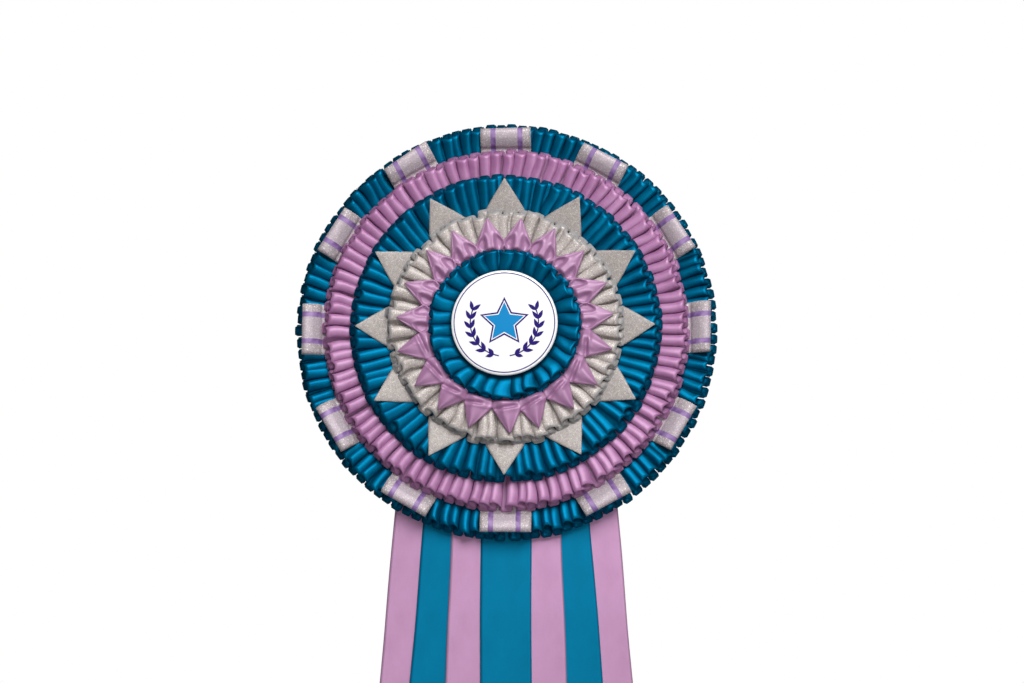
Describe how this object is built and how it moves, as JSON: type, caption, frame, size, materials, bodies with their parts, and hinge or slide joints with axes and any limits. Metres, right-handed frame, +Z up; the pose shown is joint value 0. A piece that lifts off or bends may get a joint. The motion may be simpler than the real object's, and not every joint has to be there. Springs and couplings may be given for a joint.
{
  "type": "award rosette",
  "caption": "Pleated multi-tier award rosette in teal, lilac and silver ribbon with striped loops, star points, a round badge, hanging ribbon tails and a bar pin behind.",
  "frame": {"origin": "centre of the back cover card's rear face, on the rosette's axis", "axes": "+Y out of the back, so the face looks along -Y; +Z up, with the tails hanging towards -Z; +X to the right as the face is seen"},
  "size_m": [0.3046, 0.0435, 0.6633],
  "materials": {
    "teal_satin": "satin acetate ribbon, teal",
    "lilac_satin": "satin acetate ribbon, lilac",
    "silver_lame": "metallic silver lame ribbon",
    "silver_glitter": "silver glitter ribbon",
    "striped_ribbon": "silver glitter ribbon with two purple stripes",
    "badge_white": "glossy film over a white printed face",
    "badge_blue": "blue print under glossy film",
    "badge_navy": "navy print under glossy film",
    "greyboard": "plain greyboard",
    "cover_card": "smooth white card",
    "pin_nickel": "nickel-plated steel"
  },
  "bodies": {
    "rosette": {"back_cover_card": "cover_card", "backing_board": "greyboard", "tier_1_ribbon": "teal_satin", "tier_2_ribbon": "lilac_satin", "tier_3_ribbon": "teal_satin", "tier_4_ribbon": "silver_lame", "tier_5_ribbon": "teal_satin", "tier_2_card": "greyboard", "tier_3_card": "greyboard", "tier_4_card": "greyboard", "tier_5_card": "greyboard", "centre_card": "greyboard", "badge_disc": "badge_white", "loop_01": "striped_ribbon", "loop_02": "striped_ribbon", "loop_03": "striped_ribbon", "loop_04": "striped_ribbon", "loop_05": "striped_ribbon", "loop_06": "striped_ribbon", "loop_07": "striped_ribbon", "loop_08": "striped_ribbon", "loop_09": "striped_ribbon", "loop_10": "striped_ribbon", "loop_11": "striped_ribbon", "loop_12": "striped_ribbon", "star_point_01": "silver_glitter", "star_point_02": "silver_glitter", "star_point_03": "silver_glitter", "star_point_04": "silver_glitter", "star_point_05": "silver_glitter", "star_point_06": "silver_glitter", "star_point_07": "silver_glitter", "star_point_08": "silver_glitter", "star_point_09": "silver_glitter", "star_point_10": "silver_glitter", "star_point_11": "silver_glitter", "star_point_12": "silver_glitter", "folded_point_ring": "lilac_satin", "tail_1_upper": "lilac_satin", "tail_2_upper": "teal_satin", "tail_3_upper": "lilac_satin", "tail_4_upper": "teal_satin", "tail_5_upper": "lilac_satin", "tail_6_upper": "teal_satin", "tail_7_upper": "lilac_satin", "spacer_1": "greyboard", "spacer_2": "greyboard", "spacer_3": "greyboard", "spacer_4": "greyboard", "pin_bar": "pin_nickel", "hinge_rivet": "pin_nickel"},
    "tails": {"tail_1_lower": "lilac_satin", "tail_2_lower": "teal_satin", "tail_3_lower": "lilac_satin", "tail_4_lower": "teal_satin", "tail_5_lower": "lilac_satin", "tail_6_lower": "teal_satin", "tail_7_lower": "lilac_satin"},
    "pin": {"pin_stem": "pin_nickel"},
    "catch": {"pin_catch": "pin_nickel"}
  },
  "joints": [
    {"name": "tails_swing", "type": "hinge", "parent": "rosette", "child": "tails", "pos_m": [0, -0.00275, -0.156], "axis": [1, 0, 0], "range_deg": [-70, 70]},
    {"name": "pin_hinge", "type": "hinge", "parent": "rosette", "child": "pin", "pos_m": [-0.017, 0.0002, 0.1], "axis": [0, 0, 1], "range_deg": [0, 75]},
    {"name": "catch_turn", "type": "hinge", "parent": "rosette", "child": "catch", "pos_m": [0.016, 0.0002, 0.1], "axis": [1, 0, 0], "range_deg": [0, 110]}
  ]
}
